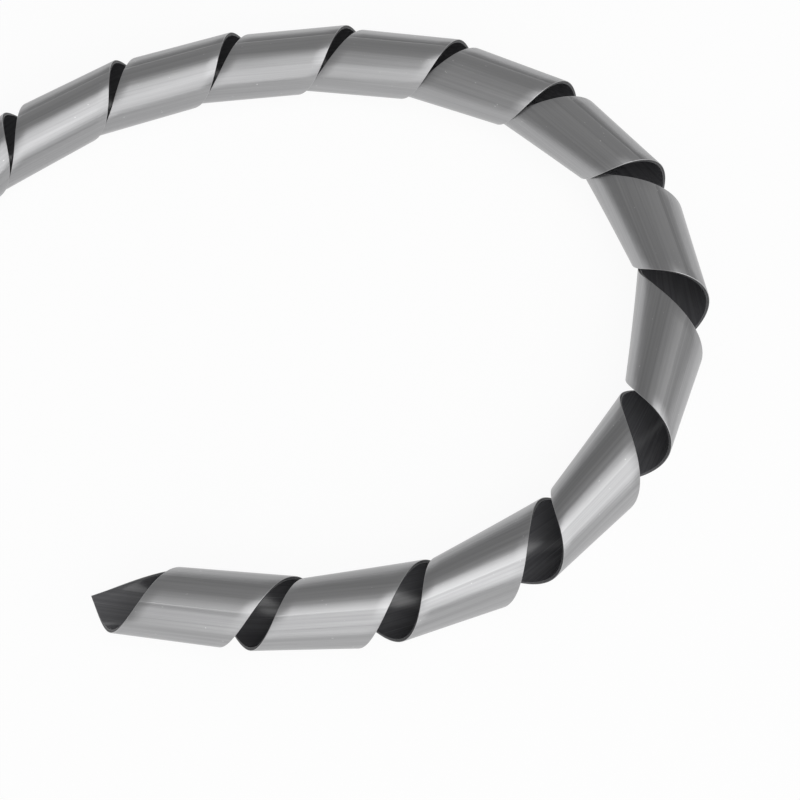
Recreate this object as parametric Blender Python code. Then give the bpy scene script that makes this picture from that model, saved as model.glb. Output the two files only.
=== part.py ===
"""A spiral cable wrap: one strip of soft plastic wound into an open, left-handed helix.

The wrap lies in a curve on a level floor at Z = 0. Units are metres, with +Z up. Its axis starts
at the near cut end, bends to the left, and ends in a straight run along -Y.
"""
import math
from typing import NamedTuple

import bmesh
import bpy
import numpy as np
from mathutils import Vector

NODE_NAME = "spiral_wrap"

# The strip and the tube that it winds into.
STRIP_WIDTH = 0.0254
WALL = 0.0009
NEAR_DIAMETER = 0.020
FAR_DIAMETER = 0.018
LENGTH = 1.0

# Where the near end is cut, as an angle around the tube from its left side.
CUT_ANGLE = math.radians(-48.6)

# Along the axis, where the turns have come down to the far diameter, and where the straight
# run begins.
TAPER_ENDS = 0.48
STRAIGHT_FROM = 0.68

# The strip can't bend edgewise, so in a bend its turns sway along the axis: back on top and
# forward at the bottom, by this share of the radius for each radian of bend in one radius.
SWAY = 1.45

# The heading of the straight run, from +X.
FAR_HEADING = math.radians(-90)

# Facets in each turn, the finest step along the axis, and the steepest edge shaded smooth.
FACETS = 24
AXIS_STEP = 0.0005
SMOOTH_LIMIT = math.radians(30)

# A facet this near a cut's corner, as a share of its width, gives way to the corner, and a
# straight line of the strip that is shorter than this is a point.
CORNER_CLEARANCE = 0.25
SHORTEST_LINE = 0.00001

SURFACE_COLOUR = (0.42, 0.42, 0.43, 1.0)
SURFACE_ROUGHNESS = 0.35
SURFACE_METALLIC = 0.0


class Station(NamedTuple):
    """How the wrap lies at one distance along its axis."""

    along: float
    bend_radius: float
    gap: float
    lap: float


# The gap is the one between neighbouring edges of the strip, square to them, on the inside
# of the bend, where they come closest. Where it is below zero each turn passes inside the
# next there, and the lap is how much nearer the axis the strip's far edge is than its near one.
LIE = (
    Station(0.00, math.inf, 0.0049, 0.0),
    Station(0.05, 0.130, 0.0021, 0.0),
    Station(0.10, 0.094, 0.0030, 0.0),
    Station(0.15, 0.095, 0.0042, 0.0004),
    Station(0.19, 0.068, 0.0015, 0.0013),
    Station(0.24, 0.069, -0.0018, 0.0013),
    Station(0.29, 0.112, -0.0015, 0.0013),
    Station(0.34, 0.172, 0.0002, 0.0013),
    Station(0.41, 0.128, 0.0003, 0.0010),
    Station(TAPER_ENDS, 0.165, 0.0008, 0.0),
    Station(0.60, 0.580, 0.0020, 0.0),
    Station(STRAIGHT_FROM, math.inf, 0.0025, 0.0),
)


def running_sum(rate):
    """Integrate a rate along the axis, from zero at its first sample."""
    return np.concatenate(([0.0], np.cumsum((rate[1:] + rate[:-1]) * AXIS_STEP / 2)))


class Axis:
    """The wrap's axis over the floor, and the size of the helix along it."""

    def __init__(self):
        stations = [station.along for station in LIE]
        self.along = np.arange(-STRIP_WIDTH, LENGTH + STRIP_WIDTH, AXIS_STEP)
        self.bend = np.interp(self.along, stations, [1 / station.bend_radius for station in LIE])
        gap = np.interp(self.along, stations, [station.gap for station in LIE])
        diameters = (NEAR_DIAMETER, FAR_DIAMETER)
        self.radius = np.interp(self.along, (0, TAPER_ENDS), diameters) / 2
        self.lap = np.interp(self.along, stations, [station.lap for station in LIE])
        self.sway = SWAY * self.bend * self.radius
        share = (STRIP_WIDTH + gap) / (2 * math.pi * self.radius)
        root = np.sqrt(1 + self.sway**2 - share**2)
        inside_slope = share * (share * self.sway + root) / (1 - share**2)
        self.slope = inside_slope / (1 - self.bend * self.radius)
        self.height = (self.radius + self.lap / 2) * math.cos(math.pi / FACETS)
        self.heading = running_sum(self.bend)
        self.heading += FAR_HEADING - self.heading[-1]
        self.x = running_sum(np.cos(self.heading))
        self.y = running_sum(np.sin(self.heading))
        turned = running_sum(1 / (self.radius * self.slope))
        self.turned = turned - np.interp(0.0, self.along, turned)

    def at(self, along, values):
        """Read one of the axis's rows of values this far along it."""
        return float(np.interp(along, self.along, values))


class Turn:
    """The helix where it has turned through one angle."""

    def __init__(self, axis, turned):
        self.angle = CUT_ANGLE - turned
        even = float(np.interp(turned, axis.turned, axis.along))
        self.radius = axis.at(even, axis.radius)
        self.lap = axis.at(even, axis.lap)
        sway = axis.at(even, axis.sway)
        along = even - sway * self.radius * math.sin(self.angle)
        self.heading = axis.at(along, axis.heading)
        self.centre = Vector(axis.at(along, row) for row in (axis.x, axis.y, axis.height))
        inwards = axis.at(even, axis.bend) * self.radius
        self.slope = axis.at(even, axis.slope) * (1 - inwards * math.cos(self.angle))
        self.slope += sway * math.cos(self.angle)

    def half_length(self):
        """Half the length of the strip's straight line along the axis, from edge to edge."""
        return STRIP_WIDTH / 2 / math.cos(math.atan(self.slope))

    def cut_slope(self):
        """How far along the axis a square cut runs for each radian around the tube."""
        rise = math.atan(self.slope)
        return self.radius / math.cos(rise) / math.sin(rise)

    def cut_half_angle(self):
        """Angle around the tube from the middle of a square cut to either of its corners."""
        return self.half_length() / self.cut_slope()


def ring_angles(axis, last_turned):
    """Angles turned at which the strip gets a ring of points: its corners and the facets."""
    first_half = Turn(axis, 0.0).cut_half_angle()
    last_half = Turn(axis, last_turned).cut_half_angle()
    corners = [-first_half, first_half, last_turned - last_half, last_turned + last_half]
    facet = 2 * math.pi / FACETS
    bottom_edge = CUT_ANGLE + math.pi / 2 + facet / 2
    lowest = math.ceil((corners[0] - bottom_edge) / facet)
    highest = math.floor((corners[-1] - bottom_edge) / facet)
    angles = [bottom_edge + facet * index for index in range(lowest, highest + 1)]
    clearance = facet * CORNER_CLEARANCE
    clear = [a for a in angles if min(abs(a - corner) for corner in corners) > clearance]
    return sorted(corners + clear)


def ring_points(axis, turned, last_turned):
    """Four corners of the strip's section: outer low, outer high, inner high, inner low."""
    turn = Turn(axis, turned)
    half_length = turn.half_length()
    slope = turn.cut_slope()
    low = min(max(-half_length, -turned * slope), half_length)
    high = max(min(half_length, (last_turned - turned) * slope), -half_length)

    forward = Vector((math.cos(turn.heading), math.sin(turn.heading), 0.0))
    left = Vector((-forward.y, forward.x, 0.0))
    up = Vector((0.0, 0.0, 1.0))
    outward = left * math.cos(turn.angle) + up * math.sin(turn.angle)

    def point(along, depth):
        radius = turn.radius - depth - turn.lap * along / (2 * half_length)
        return turn.centre + outward * radius + forward * along

    return point(low, 0.0), point(high, 0.0), point(high, WALL), point(low, WALL)


def add_ring(mesh, points):
    """Add a ring's corners, with one vertex where the strip runs out to a point."""
    outer_low, outer_high, inner_high, inner_low = points
    if (outer_high - outer_low).length < SHORTEST_LINE:
        outer = mesh.verts.new(outer_low)
        inner = mesh.verts.new(inner_low)
        return outer, outer, inner, inner
    return tuple(mesh.verts.new(corner) for corner in points)


def add_face(mesh, corners):
    """Add a face through its corners, leaving out repeated ones."""
    distinct = list(dict.fromkeys(corners))
    if len(distinct) > 2:
        mesh.faces.new(distinct)


def build_strip():
    """Wind the strip along the axis and return it as a closed mesh."""
    axis = Axis()
    last_turned = float(np.interp(LENGTH, axis.along, axis.turned))
    mesh = bmesh.new()
    rings = [
        add_ring(mesh, ring_points(axis, turned, last_turned))
        for turned in ring_angles(axis, last_turned)
    ]
    for near, far in zip(rings, rings[1:]):
        for side in range(4):
            after = (side + 1) % 4
            add_face(mesh, (near[side], near[after], far[after], far[side]))
    bmesh.ops.recalc_face_normals(mesh, faces=mesh.faces)
    bmesh.ops.triangulate(mesh, faces=mesh.faces)
    return mesh


def centre_on_origin(mesh):
    """Slide the strip over the floor until the middle of its outline is over the origin."""
    for across in (0, 1):
        reach = [vertex.co[across] for vertex in mesh.verts]
        middle = (min(reach) + max(reach)) / 2
        for vertex in mesh.verts:
            vertex.co[across] -= middle
    floor = min(vertex.co.z for vertex in mesh.verts)
    for vertex in mesh.verts:
        vertex.co.z -= floor


def plastic_material():
    """Satin grey plastic for the whole strip."""
    material = bpy.data.materials.new(NODE_NAME)
    material.use_nodes = True
    shader = material.node_tree.nodes["Principled BSDF"]
    shader.inputs["Base Color"].default_value = SURFACE_COLOUR
    shader.inputs["Roughness"].default_value = SURFACE_ROUGHNESS
    shader.inputs["Metallic"].default_value = SURFACE_METALLIC
    return material


def main():
    """Clear the scene and build the wrap."""
    for item in list(bpy.data.objects):
        bpy.data.objects.remove(item)
    mesh = build_strip()
    centre_on_origin(mesh)
    data = bpy.data.meshes.new(NODE_NAME)
    mesh.to_mesh(data)
    mesh.free()
    data.shade_smooth()
    data.set_sharp_from_angle(angle=SMOOTH_LIMIT)
    data.materials.append(plastic_material())
    bpy.context.scene.collection.objects.link(bpy.data.objects.new(NODE_NAME, data))


main()
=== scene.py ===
"""The looks of a spiral cable wrap: its silver-grey strip, a pale floor, soft light and a camera.

Lengths are metres and angles are radians. The strip is wound here by the same rule as the plain
solid that it stands for, so that it lies in the same place, but with round turns and edges.
"""

import logging
import math
from dataclasses import dataclass
from enum import Enum

import bpy
import numpy as np
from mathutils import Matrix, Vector

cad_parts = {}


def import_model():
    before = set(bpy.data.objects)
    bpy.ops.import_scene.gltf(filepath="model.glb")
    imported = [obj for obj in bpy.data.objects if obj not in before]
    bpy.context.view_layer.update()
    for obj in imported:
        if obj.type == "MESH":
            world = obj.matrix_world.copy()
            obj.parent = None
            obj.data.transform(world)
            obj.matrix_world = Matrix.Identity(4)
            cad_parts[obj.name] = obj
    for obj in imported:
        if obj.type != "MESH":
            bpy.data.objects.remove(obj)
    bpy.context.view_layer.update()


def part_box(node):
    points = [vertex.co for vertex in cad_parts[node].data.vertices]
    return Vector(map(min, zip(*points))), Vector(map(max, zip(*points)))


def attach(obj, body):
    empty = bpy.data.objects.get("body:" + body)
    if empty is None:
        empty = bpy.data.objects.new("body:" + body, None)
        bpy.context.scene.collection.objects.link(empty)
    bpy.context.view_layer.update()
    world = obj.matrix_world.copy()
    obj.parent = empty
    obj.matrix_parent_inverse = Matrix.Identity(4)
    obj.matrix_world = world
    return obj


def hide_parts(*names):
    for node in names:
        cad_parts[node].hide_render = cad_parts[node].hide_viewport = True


NODE_NAME = "spiral_wrap"
BODY_NAME = "root"

log = logging.getLogger("spiral_cable_wrap")


class Face(Enum):
    """The faces of the strip that have a finish of their own."""

    OUTSIDE = 0
    INSIDE = 1
    CUT = 2


@dataclass(frozen=True)
class Station:
    """How the wrap lies at one distance along its axis.

    The gap is the one between neighbouring edges of the strip, square to them, on the inside of
    the bend. Where it is below zero each turn passes inside the next there. The lap is how much
    nearer the axis the strip's far edge is than its near one.
    """

    along: float
    bend_radius: float
    gap: float
    lap: float


@dataclass(frozen=True)
class AxisRows:
    """The wrap's axis over the floor, and its helix's size, in rows with the same samples."""

    turned: np.ndarray
    along: np.ndarray
    bend: np.ndarray
    radius: np.ndarray
    lap: np.ndarray
    sway: np.ndarray
    slope: np.ndarray
    heading: np.ndarray
    centre: np.ndarray

    def at(self, along: np.ndarray, row: np.ndarray) -> np.ndarray:
        """Read a row at each of these distances along the axis.

        Args:
            along: Distances from the near cut.
            row: One of these rows, or a column of the centre.

        Returns:
            The row's value at each distance.
        """
        return np.interp(along, self.along, row)


@dataclass(frozen=True)
class Rings:
    """The strip's straight lines from edge to edge, one for each ring of the mesh.

    The taper is how much nearer the axis a line gets for each metre along it.
    """

    turned: np.ndarray
    along: np.ndarray
    radius: np.ndarray
    taper: np.ndarray
    centre: np.ndarray
    outward: np.ndarray
    forward: np.ndarray
    low: np.ndarray
    high: np.ndarray


@dataclass(frozen=True)
class SectionPoint:
    """One point of the strip's section: its place between the edges, and its depth.

    The place is share of the way from the low edge to the high one, and then a step on.
    """

    share: float
    step: float
    depth: float
    face: Face


@dataclass
class SpiralStrip:
    """One strip of soft plastic, wound into an open, left-handed helix that lies in a curve.

    In a bend its turns sway along the axis, back on top and forward at the bottom, by the share
    sway of the radius for each radian that the axis bends in one radius. The round turns have
    round_share of the plain solid's radius, which is measured to its facets' corners.
    """

    width: float = 0.0254
    wall: float = 0.0009
    near_diameter: float = 0.020
    far_diameter: float = 0.018
    round_share: float = 0.9925
    length: float = 1.0
    sway: float = 1.45
    cut_angle: float = math.radians(-48.6)
    taper_ends: float = 0.48
    straight_from: float = 0.68
    far_heading: float = math.radians(-90)
    axis_step: float = 0.0005
    rings_per_turn: int = 90
    columns: int = 8
    corner_radius: float = 0.00014
    corner_steps: int = 3
    smooth_limit: float = math.radians(50)

    def lie(self) -> tuple[Station, ...]:
        """Say how the wrap lies, from the near cut to the straight run.

        Returns:
            The stations in order along the axis.
        """
        return (
            Station(0.00, math.inf, 0.0049, 0.0),
            Station(0.05, 0.130, 0.0021, 0.0),
            Station(0.10, 0.094, 0.0030, 0.0),
            Station(0.15, 0.095, 0.0042, 0.0004),
            Station(0.19, 0.068, 0.0015, 0.0013),
            Station(0.24, 0.069, -0.0018, 0.0013),
            Station(0.29, 0.112, -0.0015, 0.0013),
            Station(0.34, 0.172, 0.0002, 0.0013),
            Station(0.41, 0.128, 0.0003, 0.0010),
            Station(self.taper_ends, 0.165, 0.0008, 0.0),
            Station(0.60, 0.580, 0.0020, 0.0),
            Station(self.straight_from, math.inf, 0.0025, 0.0),
        )

    def running_sum(self, rate: np.ndarray) -> np.ndarray:
        """Integrate a rate along the axis, from zero at its first sample.

        Args:
            rate: The rate at each sample of the axis.

        Returns:
            The integral at each sample.
        """
        return np.concatenate(([0.0], np.cumsum((rate[1:] + rate[:-1]) * self.axis_step / 2)))

    def axis_rows(self) -> AxisRows:
        """Lay the axis over the floor and size the helix along it.

        Returns:
            The rows, from a little before the near cut to a little past the far one.
        """
        along = np.arange(-self.width, self.length + self.width, self.axis_step)
        stations = [station.along for station in self.lie()]
        bend = np.interp(along, stations, [1 / station.bend_radius for station in self.lie()])
        gap = np.interp(along, stations, [station.gap for station in self.lie()])
        ends = (0.0, self.taper_ends)
        radius = np.interp(along, ends, (self.near_diameter, self.far_diameter)) / 2
        lap = np.interp(along, stations, [station.lap for station in self.lie()])
        sway = self.sway * bend * radius
        share = (self.width + gap) / (2 * math.pi * radius)
        root = np.sqrt(1 + sway**2 - share**2)
        inside_slope = share * (share * sway + root) / (1 - share**2)
        slope = inside_slope / (1 - bend * radius)
        heading = self.running_sum(bend)
        heading += self.far_heading - heading[-1]
        turned = self.running_sum(1 / (radius * slope))
        turned -= np.interp(0.0, along, turned)
        x, y = (self.running_sum(rate) for rate in (np.cos(heading), np.sin(heading)))
        centre = np.stack([x, y, (radius + lap / 2) * self.round_share], axis=1)
        return AxisRows(turned, along, bend, radius, lap, sway, slope, heading, centre)

    def ring_turns(self, last_turned: float, first_half: float, last_half: float) -> np.ndarray:
        """Choose the angles turned at which the mesh gets a ring.

        Args:
            last_turned: Angle turned from the middle of the near cut to that of the far one.
            first_half: Angle from the middle of the near cut to either of its corners.
            last_half: The same at the far cut.

        Returns:
            The angles in order, with the cuts' corners among them.
        """
        start, end = -first_half, last_turned + last_half
        count = math.ceil((end - start) / (2 * math.pi) * self.rings_per_turn)
        turns = np.linspace(start, end, count + 1)
        inner_corners = np.array([first_half, last_turned - last_half])
        for corner in inner_corners:
            turns[np.argmin(abs(turns - corner))] = corner
        return turns

    def rings(self) -> Rings:
        """Place the strip's straight lines.

        Returns:
            The lines, one for each ring of the mesh.
        """
        rows = self.axis_rows()
        last_turned = float(np.interp(self.length, rows.along, rows.turned))
        ends = np.array([0.0, last_turned])
        halves = self.lines_at(rows, ends)
        cut_halves = halves["half"] / halves["cut_slope"]
        turned = self.ring_turns(last_turned, *cut_halves)
        lines = self.lines_at(rows, turned)
        half, cut_slope = lines["half"], lines["cut_slope"]
        least = self.corner_radius * 2
        low = np.clip(-turned * cut_slope, -half, half - least)
        high = np.clip((last_turned - turned) * cut_slope, least - half, half)
        return Rings(
            turned, lines["along"], lines["radius"], lines["taper"], lines["centre"],
            lines["outward"], lines["forward"], low, high,
        )

    def lines_at(self, rows: AxisRows, turned: np.ndarray) -> dict[str, np.ndarray]:
        """Work out the strip's lines where the helix has turned by each of these angles.

        Args:
            rows: The axis.
            turned: Angles turned from the middle of the near cut.

        Returns:
            Rows for the lines: along, radius, taper, centre, outward, forward, half, cut_slope.
        """
        angle = self.cut_angle - turned
        even = np.interp(turned, rows.turned, rows.along)
        radius, sway = rows.at(even, rows.radius), rows.at(even, rows.sway)
        along = even - sway * radius * np.sin(angle)
        heading = rows.at(along, rows.heading)
        inwards = rows.at(even, rows.bend) * radius
        slope = rows.at(even, rows.slope) * (1 - inwards * np.cos(angle)) + sway * np.cos(angle)
        rise = np.arctan(slope)
        half = self.width / 2 / np.cos(rise)
        level = np.zeros_like(heading)
        forward = np.stack([np.cos(heading), np.sin(heading), level], axis=1)
        left = np.stack([-np.sin(heading), np.cos(heading), level], axis=1)
        up = np.array([0.0, 0.0, 1.0])
        cosine, sine = np.cos(angle)[:, None], np.sin(angle)[:, None]
        return {
            "along": along,
            "radius": radius * self.round_share,
            "taper": rows.at(even, rows.lap) / (2 * half),
            "centre": np.stack([rows.at(along, column) for column in rows.centre.T], axis=1),
            "outward": left * cosine + up * sine,
            "forward": forward,
            "half": half,
            "cut_slope": radius / np.cos(rise) / np.sin(rise),
        }

    def section(self) -> list[SectionPoint]:
        """Draw the strip's section once round: outer face, high edge, inner face, low edge.

        Each point's face is the finish of the stretch from it to the next point.

        Returns:
            The section's points in order.
        """
        shares = [index / self.columns for index in range(1, self.columns)]
        outer = [SectionPoint(share, 0.0, 0.0, Face.OUTSIDE) for share in shares]
        inner = [SectionPoint(share, 0.0, self.wall, Face.INSIDE) for share in reversed(shares)]
        return [
            *self.edge_corner(0, False), *outer, *self.edge_corner(1, False),
            *self.edge_corner(1, True), *inner, *self.edge_corner(0, True),
        ]

    def edge_corner(self, share: int, inner: bool) -> list[SectionPoint]:
        """Round the corner at one edge of one face of the wall.

        Args:
            share: 0 at the low edge and 1 at the high one.
            inner: Whether the corner is on the inner face of the wall.

        Returns:
            The corner's points in the order in which the section runs.
        """
        side = 1 if share == 0 else -1
        leaving_edge = (share == 0) != inner
        points = []
        for index in range(self.corner_steps + 1):
            angle = math.pi / 2 * index / self.corner_steps
            step = self.corner_radius * (1 - math.sin(angle)) * side
            drop = self.corner_radius * (1 - math.cos(angle))
            depth = self.wall - drop if inner else drop
            points.append(SectionPoint(share, step, depth, Face.INSIDE if inner else Face.OUTSIDE))
        if leaving_edge:
            points.reverse()
        else:
            last = points[-1]
            points[-1] = SectionPoint(last.share, last.step, last.depth, Face.CUT)
        return points

    def build(self) -> bpy.types.Object:
        """Wind the strip as one closed mesh.

        Returns:
            The strip, in place, with a finish number on each face.
        """
        rings, section = self.rings(), self.section()
        place, depth = self.section_places(rings, section)
        radius = rings.radius[:, None] - rings.taper[:, None] * place - depth
        points = (
            rings.centre[:, None]
            + rings.outward[:, None] * radius[..., None]
            + rings.forward[:, None] * place[..., None]
        )
        points = self.over_origin(points)
        size = len(section)
        faces, finishes = self.faces(len(rings.turned), [point.face for point in section])
        mesh = bpy.data.meshes.new("silver_spiral_strip")
        mesh.from_pydata(points.reshape(-1, 3), [], faces)
        mesh.polygons.foreach_set("material_index", finishes)
        tube_place = np.stack([
            np.repeat(rings.radius * np.cos(rings.turned), size),
            np.repeat(rings.radius * np.sin(rings.turned), size),
            (rings.along[:, None] + place).ravel(),
        ], axis=1)
        self.add_attribute(mesh, "tube_place", tube_place)
        edge_distance = np.minimum(place - rings.low[:, None], rings.high[:, None] - place)
        self.add_attribute(mesh, "edge_distance", edge_distance.reshape(-1, 1))
        mesh.validate()
        mesh.shade_smooth()
        mesh.set_sharp_from_angle(angle=self.smooth_limit)
        strip = bpy.data.objects.new("silver_spiral_strip", mesh)
        bpy.context.scene.collection.objects.link(strip)
        return strip

    def dress(self, strip: bpy.types.Object) -> None:
        """Give each face of the strip its finish, in the order of the Face numbers.

        Args:
            strip: The strip that build made.
        """
        for finish in (SilverOutside(), BlackInside(), CutEdge()):
            strip.data.materials.append(finish.material())

    def section_places(
        self, rings: Rings, section: list[SectionPoint]
    ) -> tuple[np.ndarray, np.ndarray]:
        """Fit the section between the edges of each ring.

        Args:
            rings: The strip's lines.
            section: The section's points.

        Returns:
            Each point's place along its ring's line, and its depth in the wall.
        """
        share = np.array([point.share for point in section])
        step = np.array([point.step for point in section])
        depth = np.array([point.depth for point in section])
        low, high = rings.low[:, None], rings.high[:, None]
        place = low + (high - low) * share + step
        inner_columns = (share > 0) & (share < 1)
        clear = self.corner_radius * inner_columns
        place = np.clip(place, low + clear, high - clear)
        return place, np.broadcast_to(depth, place.shape)

    def faces(self, count: int, around: list[Face]) -> tuple[list[tuple[int, ...]], list[int]]:
        """Join the rings' points into faces, with a cap on each end.

        Args:
            count: How many rings there are.
            around: The finish of each stretch of the section.

        Returns:
            The faces as corner numbers, and the finish number of each.
        """
        size = len(around)
        faces, finishes = [], []
        for ring in range(count - 1):
            for side, finish in enumerate(around):
                after = (side + 1) % size
                near, far = ring * size, (ring + 1) * size
                faces.append((near + side, near + after, far + after, far + side))
                finishes.append(finish.value)
        last = (count - 1) * size
        faces.append(tuple(reversed(range(size))))
        faces.append(tuple(range(last, last + size)))
        finishes += [Face.CUT.value, Face.CUT.value]
        return faces, finishes

    def add_attribute(self, mesh: bpy.types.Mesh, name: str, values: np.ndarray) -> None:
        """Keep a value at each point of the mesh for its finishes to read.

        Args:
            mesh: The strip's mesh.
            name: The attribute's name.
            values: One row for each point, of three numbers or one.
        """
        kind, field = ("FLOAT_VECTOR", "vector") if values.shape[1] == 3 else ("FLOAT", "value")
        attribute = mesh.attributes.new(name, kind, "POINT")
        attribute.data.foreach_set(field, values.astype(np.float32).ravel())

    def over_origin(self, points: np.ndarray) -> np.ndarray:
        """Slide the strip to where the plain solid lies.

        Args:
            points: The strip's points, ring by ring.

        Returns:
            The points with the middle of their outline where the solid's is, and on its floor.
        """
        low, high = (np.array(corner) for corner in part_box(NODE_NAME))
        flat = points.reshape(-1, 3)
        shift = (low + high) / 2 - (flat.min(axis=0) + flat.max(axis=0)) / 2
        shift[2] = low[2] - flat[:, 2].min()
        return points + shift


@dataclass(frozen=True)
class Grain:
    """Noise over the tube.

    Across is the size of its spots around the tube and through the wall, and along is their
    length along the tube. Octaves of finer noise are its detail. The shift is a step along the
    tube that makes one pattern unlike another of its size.
    """

    across: float
    along: float
    detail: float = 2.0
    shift: float = 0.0


@dataclass(frozen=True)
class Fade:
    """A smooth step in a value, from none at the start to full at the end."""

    start: float
    end: float


# Where noise turns from all of a finish's dark colour to all of its light one.
EVEN_MIX = Fade(0.3, 0.7)


class FinishGraph:
    """A material's nodes, with short ways to add what the finishes need."""

    def __init__(self, name: str) -> None:
        """Start a material.

        Args:
            name: The material's name.
        """
        self.material = bpy.data.materials.new(name)
        self.material.use_nodes = True
        self.tree = self.material.node_tree
        self.shader = self.tree.nodes["Principled BSDF"]

    def link(self, value: bpy.types.NodeSocket | float, socket: bpy.types.NodeSocket) -> None:
        """Give a socket a fixed value, or join it to another node's output.

        Args:
            value: The fixed value, or the output to join.
            socket: The input that takes it.
        """
        if isinstance(value, bpy.types.NodeSocket):
            self.tree.links.new(value, socket)
        else:
            socket.default_value = value

    def attribute(self, name: str) -> bpy.types.Node:
        """Read an attribute of the mesh.

        Args:
            name: The attribute's name.

        Returns:
            The node, with an output for each kind of attribute.
        """
        node = self.tree.nodes.new("ShaderNodeAttribute")
        node.attribute_name = name
        return node

    def turned(self) -> bpy.types.NodeSocket:
        """Work out the angle around the tube, less its whole turns.

        Returns:
            The angle, from -pi to pi.
        """
        split = self.tree.nodes.new("ShaderNodeSeparateXYZ")
        self.link(self.attribute("tube_place").outputs["Vector"], split.inputs[0])
        return self.math("ARCTAN2", split.outputs["Y"], split.outputs["X"])

    def math(self, operation: str, *values: bpy.types.NodeSocket | float) -> bpy.types.NodeSocket:
        """Work out a number.

        Args:
            operation: The sum's name in a Math node.
            values: Its terms, as sockets or fixed values.

        Returns:
            The result.
        """
        node = self.tree.nodes.new("ShaderNodeMath")
        node.operation = operation
        for value, socket in zip(values, node.inputs):
            self.link(value, socket)
        return node.outputs[0]

    def fade(self, value: bpy.types.NodeSocket, fade: Fade) -> bpy.types.NodeSocket:
        """Turn a value into a smooth step.

        Args:
            value: The value.
            fade: Where the step starts and ends in it.

        Returns:
            The step, from 0 to 1.
        """
        node = self.tree.nodes.new("ShaderNodeMapRange")
        node.interpolation_type = "SMOOTHSTEP"
        node.inputs["From Min"].default_value = fade.start
        node.inputs["From Max"].default_value = fade.end
        self.link(value, node.inputs["Value"])
        return node.outputs[0]

    def noise(self, grain: Grain) -> bpy.types.NodeSocket:
        """Spread noise over the tube, as one pattern that runs on from turn to turn.

        Args:
            grain: The size and detail of the noise.

        Returns:
            The noise, from 0 to 1 and 0.5 on average.
        """
        scale = self.tree.nodes.new("ShaderNodeVectorMath")
        scale.operation = "MULTIPLY_ADD"
        self.link(self.attribute("tube_place").outputs["Vector"], scale.inputs[0])
        scale.inputs[1].default_value = (1 / grain.across, 1 / grain.across, 1 / grain.along)
        scale.inputs[2].default_value = (0.0, 0.0, grain.shift)
        noise = self.tree.nodes.new("ShaderNodeTexNoise")
        noise.inputs["Scale"].default_value = 1.0
        noise.inputs["Detail"].default_value = grain.detail
        self.link(scale.outputs[0], noise.inputs["Vector"])
        return noise.outputs["Fac"]

    def blend(
        self, share: bpy.types.NodeSocket, low: tuple[float, ...] | bpy.types.NodeSocket,
        high: tuple[float, ...],
    ) -> bpy.types.NodeSocket:
        """Blend two colours.

        Args:
            share: How much of the second colour there is.
            low: The first colour.
            high: The second colour.

        Returns:
            The blended colour.
        """
        node = self.tree.nodes.new("ShaderNodeMix")
        node.data_type = "RGBA"
        colours = [socket for socket in node.inputs if socket.type == "RGBA"]
        self.link(share, node.inputs[0])
        for colour, socket in zip((low, high), colours):
            value = colour if isinstance(colour, bpy.types.NodeSocket) else (*colour, 1.0)
            self.link(value, socket)
        return next(socket for socket in node.outputs if socket.type == "RGBA")

    def dent(
        self, height: bpy.types.NodeSocket, depth: float, before: bpy.types.NodeSocket | None = None
    ) -> bpy.types.NodeSocket:
        """Bump the surface.

        Args:
            height: The relief, from 0 to 1.
            depth: What 1 stands for, in metres.
            before: An earlier bump that this one adds to.

        Returns:
            The bumped normal.
        """
        node = self.tree.nodes.new("ShaderNodeBump")
        node.inputs["Distance"].default_value = depth
        self.link(height, node.inputs["Height"])
        if before is not None:
            self.link(before, node.inputs["Normal"])
        return node.outputs["Normal"]


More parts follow.
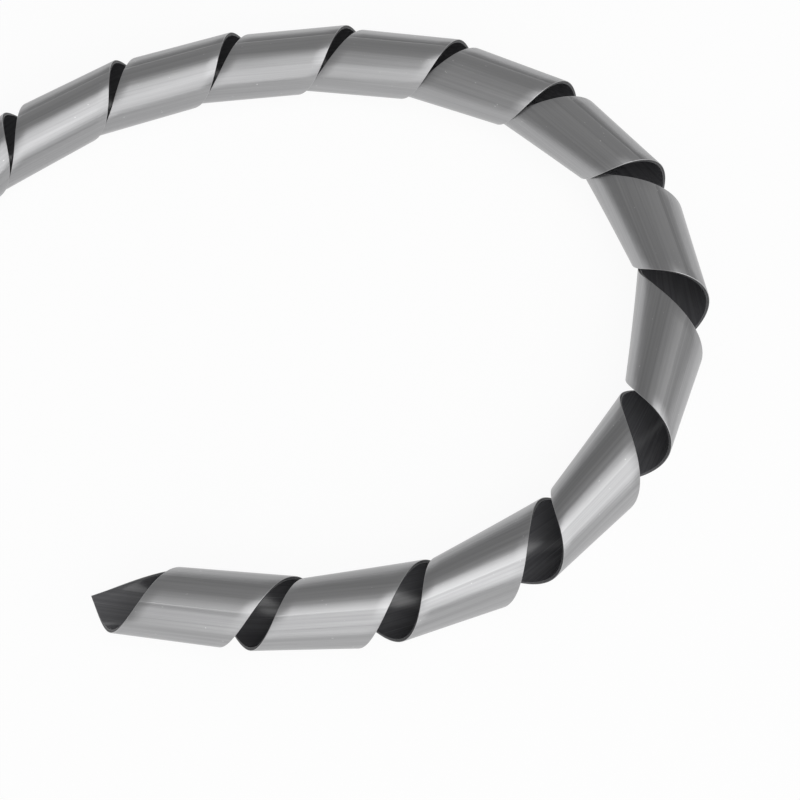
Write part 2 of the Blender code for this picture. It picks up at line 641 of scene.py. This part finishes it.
@dataclass(frozen=True)
class SilverOutside:
    """The silver-grey outside: satin, with fine lines that the die drew along the tube.

    The lines and the wider bands mix its two greys. A faint step, the seam, runs along the tube,
    with a paler stretch beside it that is a painted highlight. A few pale specks are scattered
    over it, and a thin pale rim along the strip's edges is a painted highlight too.
    """

    dark: tuple[float, float, float] = (0.32, 0.32, 0.325)
    light: tuple[float, float, float] = (0.42, 0.42, 0.425)
    speck: tuple[float, float, float] = (0.62, 0.62, 0.62)
    # Painted highlight: the pale grey of the band beside the seam and of the rim along the edges.
    painted_highlight_grey: tuple[float, float, float] = (0.50, 0.50, 0.505)
    metallic: float = 0.9
    least_roughness: float = 0.28
    most_roughness: float = 0.38
    lines: Grain = Grain(0.0005, 0.060, detail=3.0)
    bands: Grain = Grain(0.0035, 0.150, detail=1.0, shift=5.0)
    specks: Grain = Grain(0.0005, 0.0010, detail=0.0, shift=9.0)
    line_share: float = 0.5
    line_depth: float = 0.000012
    band_depth: float = 0.00007
    speck_fade: Fade = Fade(0.845, 0.885)
    seam_angle: float = math.radians(-156)
    seam_half_width: float = math.radians(0.9)
    # Painted highlight beside the seam: how far round the tube it reaches and how strongly it pales
    # the greys.
    painted_highlight_reach: float = math.radians(24)
    painted_highlight_share: float = 0.6
    seam_depth: float = 0.00004
    # Painted highlight along the strip's edges: how wide the pale rim is.
    painted_rim_highlight_width: float = 0.00025

    def material(self) -> bpy.types.Material:
        """Mix the finish.

        Returns:
            The material.
        """
        graph = FinishGraph("silver_outside")
        lines, bands = graph.noise(self.lines), graph.noise(self.bands)
        step = self.seam_step(graph)
        graph.link(self.colour(graph, lines, bands, step), graph.shader.inputs["Base Color"])
        span = self.most_roughness - self.least_roughness
        roughness = graph.math("MULTIPLY_ADD", lines, span, self.least_roughness)
        graph.link(roughness, graph.shader.inputs["Roughness"])
        graph.shader.inputs["Metallic"].default_value = self.metallic
        normal = graph.dent(bands, self.band_depth)
        normal = graph.dent(lines, self.line_depth, normal)
        normal = graph.dent(step, self.seam_depth, normal)
        graph.link(normal, graph.shader.inputs["Normal"])
        return graph.material

    def past_seam(self, graph: FinishGraph) -> bpy.types.NodeSocket:
        """Work out the angle around the tube from the seam."""
        return graph.math("SUBTRACT", graph.turned(), self.seam_angle)

    def seam_step(self, graph: FinishGraph) -> bpy.types.NodeSocket:
        """Draw the seam: 0 before it and 1 past it."""
        return graph.fade(self.past_seam(graph), Fade(-self.seam_half_width, self.seam_half_width))

    def colour(
        self, graph: FinishGraph, lines: bpy.types.NodeSocket, bands: bpy.types.NodeSocket,
        step: bpy.types.NodeSocket,
    ) -> bpy.types.NodeSocket:
        """Mix the colour: the greys, pale specks, and painted highlights by the seam and edges.

        Args:
            graph: The material's nodes.
            lines: The noise of the drawn lines.
            bands: The noise of the bands.
            step: The seam's step.

        Returns:
            The colour.
        """
        tone = graph.math(
            "ADD",
            graph.math("MULTIPLY", lines, self.line_share),
            graph.math("MULTIPLY", bands, 1 - self.line_share),
        )
        greys = graph.blend(graph.fade(tone, EVEN_MIX), self.dark, self.light)
        # Painted highlight: a paler band just past the seam, fading out round the tube.
        beside = graph.fade(self.past_seam(graph), Fade(self.painted_highlight_reach, 0.0))
        pale = graph.math("MULTIPLY", graph.math("MULTIPLY", step, beside), self.painted_highlight_share)
        with_seam_highlight = graph.blend(pale, greys, self.painted_highlight_grey)
        specks = graph.fade(graph.noise(self.specks), self.speck_fade)
        specked = graph.blend(specks, with_seam_highlight, self.speck)
        # Painted highlight: a thin pale rim along the strip's edges.
        edge_distance = graph.attribute("edge_distance").outputs["Fac"]
        return graph.blend(
            graph.fade(edge_distance, Fade(self.painted_rim_highlight_width, 0.0)), specked, self.painted_highlight_grey
        )


@dataclass(frozen=True)
class BlackInside:
    """The near-black inside, glossy, with thin pale lines along the tube."""

    dark: tuple[float, float, float] = (0.085, 0.085, 0.091)
    light: tuple[float, float, float] = (0.112, 0.112, 0.119)
    scratch: tuple[float, float, float] = (0.17, 0.17, 0.18)
    gloss: float = 0.8
    least_roughness: float = 0.18
    most_roughness: float = 0.28
    lines: Grain = Grain(0.0006, 0.080, detail=2.0, shift=3.0)
    scratches: Grain = Grain(0.0003, 0.080 / 3, detail=0.0, shift=7.0)
    scratch_fade: Fade = Fade(0.76, 0.84)
    line_depth: float = 0.000008

    def material(self) -> bpy.types.Material:
        """Mix the finish.

        Returns:
            The material.
        """
        graph = FinishGraph("black_inside")
        lines = graph.noise(self.lines)
        blacks = graph.blend(graph.fade(lines, EVEN_MIX), self.dark, self.light)
        scratches = graph.fade(graph.noise(self.scratches), self.scratch_fade)
        colour = graph.blend(scratches, blacks, self.scratch)
        graph.link(colour, graph.shader.inputs["Base Color"])
        span = self.most_roughness - self.least_roughness
        roughness = graph.math("MULTIPLY_ADD", lines, span, self.least_roughness)
        graph.link(roughness, graph.shader.inputs["Roughness"])
        graph.shader.inputs["Specular IOR Level"].default_value = self.gloss
        graph.link(graph.dent(lines, self.line_depth), graph.shader.inputs["Normal"])
        return graph.material


@dataclass(frozen=True)
class CutEdge:
    """The slit and cut edges of the strip: matt, with the knife's fine marks across the wall."""

    dark: tuple[float, float, float] = (0.028, 0.028, 0.030)
    light: tuple[float, float, float] = (0.060, 0.060, 0.063)
    roughness: float = 0.5
    marks: Grain = Grain(0.0004, 0.0004, detail=2.0, shift=1.0)
    mark_depth: float = 0.00001

    def material(self) -> bpy.types.Material:
        """Mix the finish.

        Returns:
            The material.
        """
        graph = FinishGraph("cut_edge")
        marks = graph.noise(self.marks)
        colour = graph.blend(graph.fade(marks, EVEN_MIX), self.dark, self.light)
        graph.link(colour, graph.shader.inputs["Base Color"])
        graph.shader.inputs["Roughness"].default_value = self.roughness
        graph.link(graph.dent(marks, self.mark_depth), graph.shader.inputs["Normal"])
        return graph.material


@dataclass(frozen=True)
class StudioSweep:
    """A wide white floor that curves up into a low wall all round."""

    flat_radius: float = 12.0
    curve_radius: float = 0.8
    wall_height: float = 1.0
    curve_steps: int = 12
    sides: int = 96
    white: tuple[float, float, float] = (0.9, 0.9, 0.9)
    own_light: float = 0.93

    def build(self) -> bpy.types.Object:
        """Spin the floor and its wall, and paint them.

        Returns:
            The sweep, with its floor at Z = 0.
        """
        mesh = bpy.data.meshes.new("studio_sweep")
        profile = self.profile()
        points = [(0.0, 0.0, 0.0)]
        for radius, height in profile:
            for side in range(self.sides):
                angle = 2 * math.pi * side / self.sides
                points.append((radius * math.cos(angle), radius * math.sin(angle), height))
        faces = []
        for side in range(self.sides):
            after = (side + 1) % self.sides
            faces.append((0, 1 + side, 1 + after))
            for ring in range(len(profile) - 1):
                near, far = 1 + ring * self.sides, 1 + (ring + 1) * self.sides
                faces.append((near + side, far + side, far + after, near + after))
        mesh.from_pydata(points, [], faces)
        mesh.shade_smooth()
        mesh.materials.append(self.material())
        sweep = bpy.data.objects.new("studio_sweep", mesh)
        bpy.context.scene.collection.objects.link(sweep)
        return sweep

    def profile(self) -> list[tuple[float, float]]:
        """Draw the sweep from the flat floor's rim to the top of its wall.

        Returns:
            Radius and height of each point.
        """
        points = []
        for step in range(self.curve_steps + 1):
            angle = math.pi / 2 * step / self.curve_steps
            radius = self.flat_radius + self.curve_radius * math.sin(angle)
            points.append((radius, self.curve_radius * (1 - math.cos(angle))))
        points.append((self.flat_radius + self.curve_radius, self.wall_height))
        return points

    def material(self) -> bpy.types.Material:
        """Paint it white: a share of the white is its own light, and the rest takes shadows.

        Returns:
            The material.
        """
        graph = FinishGraph("studio_white")
        nodes = graph.tree.nodes
        path = nodes.new("ShaderNodeLightPath").outputs
        seen = graph.math("MAXIMUM", path["Is Camera Ray"], path["Is Glossy Ray"])
        seen = graph.math("MAXIMUM", seen, path["Is Transmission Ray"])
        paint, glow, mix = (
            nodes.new(kind)
            for kind in ("ShaderNodeBsdfDiffuse", "ShaderNodeEmission", "ShaderNodeMixShader")
        )
        paint.inputs["Color"].default_value = (*self.white, 1.0)
        graph.link(graph.math("MULTIPLY", seen, self.own_light), mix.inputs[0])
        graph.link(paint.outputs[0], mix.inputs[1])
        graph.link(glow.outputs[0], mix.inputs[2])
        nodes.remove(graph.shader)
        graph.link(mix.outputs[0], nodes["Material Output"].inputs["Surface"])
        return graph.material


@dataclass(frozen=True)
class Softbox:
    """A large soft lamp that looks at the middle of the floor.

    Its azimuth is from the camera's side, positive towards +X, and it sends out as much light as
    a white surface with this radiance.
    """

    azimuth: float
    elevation: float
    distance: float
    width: float
    height: float
    radiance: float

    def build(self, name: str) -> bpy.types.Object:
        """Hang the lamp.

        Args:
            name: The lamp's name.

        Returns:
            The lamp.
        """
        data = bpy.data.lights.new(name, "AREA")
        data.shape = "RECTANGLE"
        data.size, data.size_y = self.width, self.height
        data.energy = self.radiance * math.pi * self.width * self.height
        lamp = bpy.data.objects.new(name, data)
        level = math.cos(self.elevation) * self.distance
        lamp.location = (
            math.sin(self.azimuth) * level,
            -math.cos(self.azimuth) * level,
            math.sin(self.elevation) * self.distance,
        )
        lamp.rotation_euler = (math.pi / 2 - self.elevation, 0.0, self.azimuth)
        lamp.visible_camera = False
        bpy.context.scene.collection.objects.link(lamp)
        return lamp


@dataclass(frozen=True)
class Studio:
    """The white sweep, the two softboxes and the dim room around them."""

    room_light: float = 0.34
    front: Softbox = Softbox(
        azimuth=math.radians(3), elevation=math.radians(32), distance=2.2,
        width=2.0, height=2.4, radiance=1.25,
    )
    side: Softbox = Softbox(
        azimuth=math.radians(64), elevation=math.radians(50), distance=2.2,
        width=2.0, height=3.7, radiance=1.6,
    )

    def build(self) -> None:
        """Set the studio up."""
        StudioSweep().build()
        self.front.build("front_softbox")
        self.side.build("side_softbox")
        world = bpy.data.worlds.new("studio_room")
        world.use_nodes = True
        background = world.node_tree.nodes["Background"].inputs
        background["Color"].default_value = (1.0, 1.0, 1.0, 1.0)
        background["Strength"].default_value = self.room_light
        bpy.context.scene.world = world


@dataclass(frozen=True)
class PhotoCamera:
    """The camera, at the photograph's viewing angle."""

    target: tuple[float, float, float] = (0.0518, 0.1929, 0.0)
    distance: float = 0.5737
    azimuth: float = math.radians(-0.6)
    elevation: float = math.radians(69.55)
    lens_mm: float = 93.9
    sensor_mm: float = 36.0

    def build(self) -> bpy.types.Object:
        """Set the camera up and make it the scene's own.

        Returns:
            The camera.
        """
        data = bpy.data.cameras.new("photo_camera")
        data.lens = self.lens_mm
        data.sensor_width = self.sensor_mm
        camera = bpy.data.objects.new("photo_camera", data)
        camera.rotation_euler = (math.pi / 2 - self.elevation, 0.0, self.azimuth)
        back = Vector((0.0, 0.0, self.distance))
        back.rotate(camera.rotation_euler)
        camera.location = Vector(self.target) + back
        bpy.context.scene.collection.objects.link(camera)
        bpy.context.scene.camera = camera
        return camera


def main() -> None:
    """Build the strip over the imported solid, dress it, and set the studio."""
    logging.basicConfig(level=logging.INFO, format="%(name)s: %(message)s")
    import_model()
    wrap = SpiralStrip()
    strip = wrap.build()
    wrap.dress(strip)
    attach(strip, BODY_NAME)
    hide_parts(NODE_NAME)
    log.info("%s has %d faces", strip.name, len(strip.data.polygons))
    Studio().build()
    PhotoCamera().build()
    bpy.context.scene.view_settings.view_transform = "Standard"


if __name__ == "__main__":
    main()
